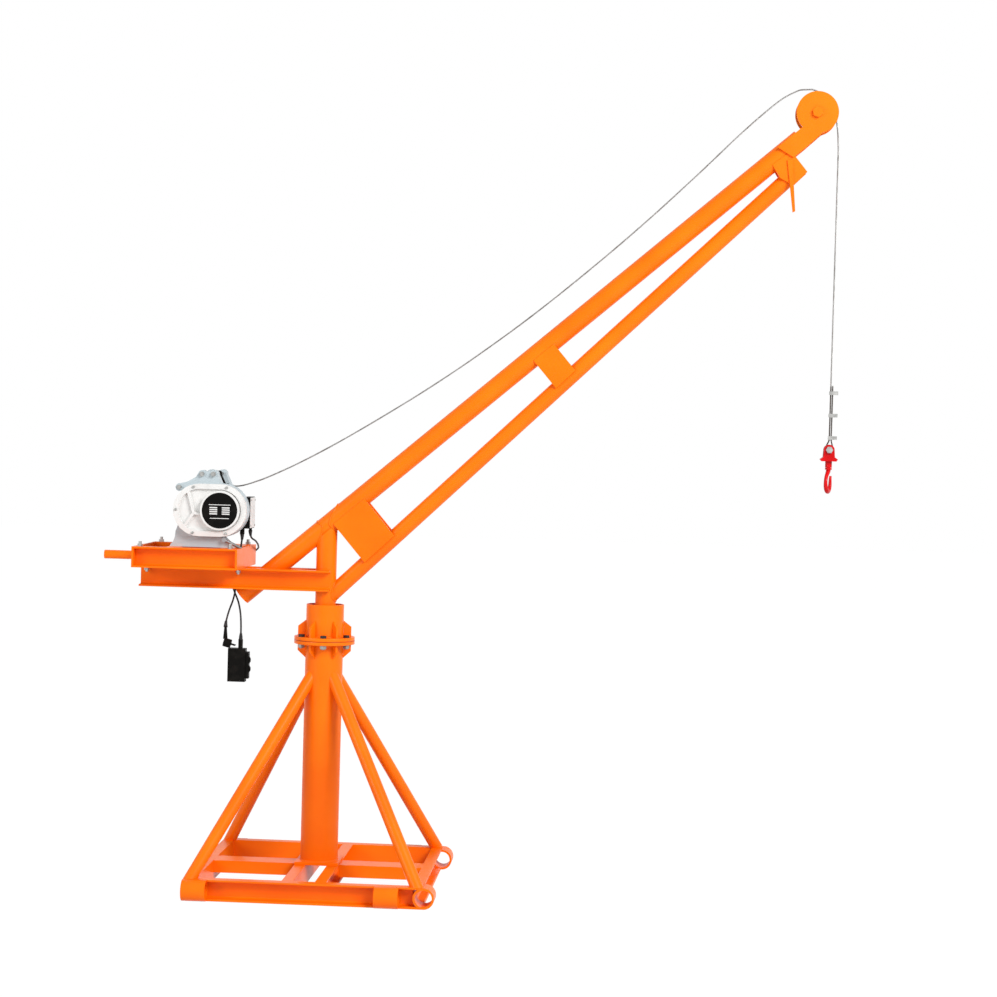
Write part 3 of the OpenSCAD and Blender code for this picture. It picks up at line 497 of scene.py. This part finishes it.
# ---- Winch castings ----
# Aluminium castings: the two cases in blue-grey paint, the gear cover and the
# motor in white, with the soft pebbled skin of the mould showing through.


def cast(name, pale, dark):
    f = Finish(name, specular_ior_level=0.3)
    grime = f.ramp(f.noise(12, 5), 0.5, 0.8)
    f.shade(base_color=f.mix(grime * 0.5, pale, dark), roughness=f.noise(70, 3) * 0.2 + 0.32)
    f.bump(f.noise(260, 3), 0.0005)
    return f.material


blue_grey = cast("blue-grey casting", (0.47, 0.54, 0.57, 1), (0.33, 0.38, 0.4, 1))
white_cast = cast("white casting", (0.72, 0.715, 0.7, 1), (0.5, 0.48, 0.45, 1))
coat(blue_grey, "gear_case", "motor_case")
coat(white_cast, "gear_cover", "motor", "control_cover")
soften(0.0015, "gear_case", "motor_case", "gear_cover", "control_cover")

# ---- Cover screws ----
# Socket-head screws round the gear cover's rim and in the control cover's
# corners, let into the castings, with a hexagon in each head.


def screws(name, places, axis, radius, body):
    """Socket heads at the places; the profiles go by shares of the head's radius."""
    bm = bmesh.new()
    for place in places:
        r = radius
        lathe(bm, place, axis, [(-0.001, r), (0.55 * r, r), (0.68 * r, 0.93 * r), (0.72 * r, 0.8 * r),
                                (0.72 * r, 0.5 * r)], 24)
        lathe(bm, place, axis, [(0.6 * r, 0.48 * r), (0.74 * r, 0.5 * r), (0.3 * r, 0.42 * r)], 6)
    piece(name, bm, body, zinc)


low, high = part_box("gear_cover")
cover_end_r, screw_circle_r, rim_step = 0.101, 0.091, 0.012
middle, rim = (low[2] + high[2]) / 2, screw_circle_r
front_x, rear_x = high[0] - cover_end_r, low[0] + cover_end_r
places = [(x + rim * math.cos(math.radians(a)), low[1] + rim_step, middle + rim * math.sin(math.radians(a)))
          for x, angles in ((front_x, (-75, 75)), (rear_x, (105, 180, 255))) for a in angles]
screws("cover_screws", places, (0, -1, 0), 0.0055, "upper_works")
low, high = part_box("control_cover")
inset = 0.01
screws("control_screws", [(high[0], y, z) for y in (low[1] + inset, high[1] - inset)
                          for z in (low[2] + inset, high[2] - inset)], (1, 0, 0), 0.0034, "upper_works")

# ---- Black mouldings ----
# The control box, the handset, the rope guide and the plug are moulded black
# plastic and rubber, dull, with paler dust in the grain.


def moulded(name, roughness):
    f = Finish(name, roughness=roughness, specular_ior_level=0.06)
    dust = f.ramp(f.noise(30, 4), 0.5, 0.8)
    f.shade(base_color=f.mix(dust * 0.3, (0.004, 0.0035, 0.003, 1), (0.03, 0.026, 0.022, 1)))
    f.bump(f.noise(650, 2), 0.0003)
    return f.material


black_plastic = moulded("black plastic", 0.45)
black_rubber = moulded("black rubber", 0.6)
black_plate = moulded("black plate", 0.2)
coat(black_plastic, "rope_guide", "control_box", "pendant")
coat(black_rubber, "plug")
coat(black_plate, "nameplate")
soften(0.003, "control_box", "pendant")

# ---- Nameplate fields ----
# Blank pale fields printed on the round black plate: a bar above and below,
# and two columns between. They carry no lettering.

low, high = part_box("nameplate")
plate_x, plate_z = (low[0] + high[0]) / 2, (low[2] + high[2]) / 2
bm = bmesh.new()
# Across, up, width and height, in millimetres from the plate's middle.
fields = [(0, 22, 84, 2.5), (0, -30, 74, 2.5)]
fields += [(x, z, 30, 4.5) for x in (-24, 24) for z in (11, 3, -5, -13)]
for x, z, width, height in fields:
    bmesh.ops.create_cube(bm, matrix=Matrix.Translation((plate_x + x / 1000, low[1], plate_z + z / 1000))
                          @ Matrix.Diagonal((width / 1000, 0.0006, height / 1000, 1)))
bmesh.ops.bevel(bm, geom=bm.edges[:], offset=0.00018, segments=2, profile=0.5, affect="EDGES", material=-1)
piece("nameplate_fields", bm, "upper_works", white_cast)

# ---- Handset buttons ----
# Two domed rubber buttons in raised collars on the handset's side panel, for
# up and down.

low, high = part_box("pendant")
bm = bmesh.new()
collar_profile = [(-0.001, 0.0135), (0.002, 0.0135), (0.0028, 0.0125), (0.0028, 0.0105)]
dome_profile = [(0.001, 0.0098), (0.004, 0.0098), (0.0055, 0.008), (0.0062, 0.005), (0.0064, 0.001)]
for z in (low[2] + 0.05, low[2] + 0.085):
    for profile in (collar_profile, dome_profile):
        lathe(bm, (high[0], -0.008, z), (1, 0, 0), profile)
piece("handset_buttons", bm, "upper_works", black_rubber, 50)

# ---- Wire rope ----
# Stranded steel rope, bare and lightly greased: six strands laid round a core,
# wound on the drum, led over the sheave and turned back at the hook's pin.


# The fall hangs beyond fall_from, and its doubled part ends at cut_end, above the clips.
fall_from, cut_end = 1.85, 1.99


def strand():
    f = Finish("wire rope", metallic=0.85, roughness=0.45)
    grease = f.ramp(f.noise(25, 3), 0.45, 0.7)
    colour = f.mix(grease, (0.38, 0.37, 0.36, 1), (0.2, 0.185, 0.17, 1))
    doubled = (f.ramp((f.height(0) - fall_from) * 10, 0.2, 0.5)
               * f.ramp((cut_end - f.height()) * 100, 0.0, 0.6))
    f.shade(base_color=f.mix(doubled * 0.85, colour, (0.07, 0.055, 0.045, 1)))
    f.bump(f.noise(900, 2), 0.0003)
    return f.material


rope_steel = strand()


def evenly(points, gap):
    """The same line with a point at each gap, its corners rounded a little."""
    made, over = [], 0
    for a, b in zip(points, points[1:]):
        a, b = Vector(a), Vector(b)
        run = (b - a).length
        while over < run:
            made.append(a.lerp(b, over / run))
            over += gap
        over -= run
    made.append(Vector(points[-1]))
    for _ in range(3):
        made[1:-1] = [(a + 2 * b + c) / 4 for a, b, c in zip(made, made[1:], made[2:])]
    return made


def strands(name, path, gap, diameter, body, stands_for):
    """Six strands round the path, whose points stand a gap apart."""
    curve = bpy.data.curves.new(name, "CURVE")
    curve.dimensions = "3D"
    strand_r, circle_r, lay = diameter / 6, diameter / 3, 6.5 * diameter
    curve.bevel_depth, curve.bevel_resolution, curve.use_fill_caps = strand_r, 0, True
    places = along(path, [1] * len(path))
    for k in range(6):
        spline = curve.splines.new("POLY")
        spline.points.add(len(path) - 1)
        for i, (point, place) in enumerate(zip(spline.points, places)):
            a = 2 * math.pi * (k / 6 + i * gap / lay)
            point.co = (*(place @ Vector((circle_r * math.cos(a), circle_r * math.sin(a), 0))), 1)
    curve.materials.append(rope_steel)
    made = bpy.data.objects.new(name, curve)
    scene.collection.objects.link(made)
    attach(made, body)
    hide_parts(stands_for)


rope_diameter = 0.006
rope_route = [(x, 0, z) for x, z in (
    (-0.455, 1.528), (-0.43, 1.538), (-0.408, 1.541), (-0.388, 1.541), (-0.36, 1.539),
    (-0.33, 1.544), (-0.288, 1.558), (-0.233, 1.58), (-0.114, 1.638), (0.05, 1.73),
    (0.272, 1.868), (0.463, 1.996), (0.654, 2.136), (0.825, 2.271), (1.032, 2.447),
    (1.219, 2.616), (1.405, 2.795), (1.572, 2.961), (1.702, 3.076), (1.777, 3.118),
    (1.825, 3.121), (1.862, 3.107), (1.889, 3.082), (1.903, 3.065), (1.912, 3.045),
    (1.92, 3.005), (1.927, 2.95), (1.93, 2.89), (1.93, 1.78), (1.922, 1.765),
    (1.916, 1.75), (1.919, 1.738), (1.926, 1.733), (1.934, 1.733), (1.942, 1.738),
    (1.945, 1.75), (1.941, 1.765), (1.937, 1.78), (1.937, cut_end))]
# The long run curves smoothly up to the sheave; the rest is given closely enough.
rope_step = 0.0035
rope_line = evenly(through(rope_route[:20], 12) + rope_route[20:], rope_step)
strands("stranded_rope", rope_line, rope_step, rope_diameter, "upper_works", "hoist_rope")
low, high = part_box("wound_rope")
coil_r = (high[2] - low[2]) / 2 - rope_diameter / 2
coil_x, coil_z = (low[0] + high[0]) / 2, (low[2] + high[2]) / 2
coil_y0, coil_y1 = low[1] + rope_diameter / 2, high[1] - rope_diameter / 2
wraps, to_a_wrap = (coil_y1 - coil_y0) / rope_diameter, 60
steps = int(wraps * to_a_wrap)
coil = [Vector((coil_x + coil_r * math.cos(2 * math.pi * wraps * i / steps),
                coil_y0 + (coil_y1 - coil_y0) * i / steps,
                coil_z + coil_r * math.sin(2 * math.pi * wraps * i / steps))) for i in range(steps + 1)]
strands("rope_coil", coil, 2 * math.pi * coil_r / to_a_wrap, rope_diameter, "winch_drum", "wound_rope")

# ---- Hook and yoke ----
# Forged steel dipped in red enamel: the yoke on the rope's pin, and the shank
# with its nut, which turns in the yoke.


def red_enamel():
    f = Finish("red enamel", specular_ior_level=0.12, coat_weight=0.05)
    patch = f.ramp(f.noise(30, 4), 0.4, 0.7)
    f.shade(base_color=f.mix(patch, (0.48, 0.003, 0.004, 1), (0.62, 0.005, 0.007, 1)),
            roughness=f.noise(80, 3) * 0.18 + 0.25)
    f.bump(f.noise(300, 3), 0.0004)
    return f.material


red = red_enamel()
coat(red, "hook_yoke", "hook_shank")

# ---- Hook bow ----
# Forged in one piece: the bar thickens towards the bowl, where the load lies,
# and draws down to a blunt point. It hangs turned well out of the jib's plane.

bow = through([
    (0, 0, -0.054, 0.009), (-0.003, 0, -0.061, 0.0088), (-0.014, 0, -0.07, 0.008),
    (-0.026, 0, -0.08, 0.0072), (-0.034, 0, -0.094, 0.007), (-0.035, 0, -0.108, 0.0074),
    (-0.029, 0, -0.1225, 0.0082), (-0.016, 0, -0.1335, 0.0088), (0, 0, -0.138, 0.0086),
    (0.016, 0, -0.1335, 0.008), (0.028, 0, -0.1215, 0.0072), (0.032, 0, -0.106, 0.0064),
    (0.033, 0, -0.092, 0.0056), (0.036, 0, -0.079, 0.0045)], 5)
shank_seat, hook_turn = (1.93, 0, 1.722), math.radians(71)
turned_to = Matrix.Translation(shank_seat) @ Matrix.Rotation(hook_turn, 4, "Z")
bm = bmesh.new()
rings(bm, along([turned_to @ v.xyz for v in bow], [v.w for v in bow]), 20)
bow_piece = piece("hook_bow", bm, "hook", red, 70)
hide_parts("hook")

scene.view_settings.view_transform = "Standard"
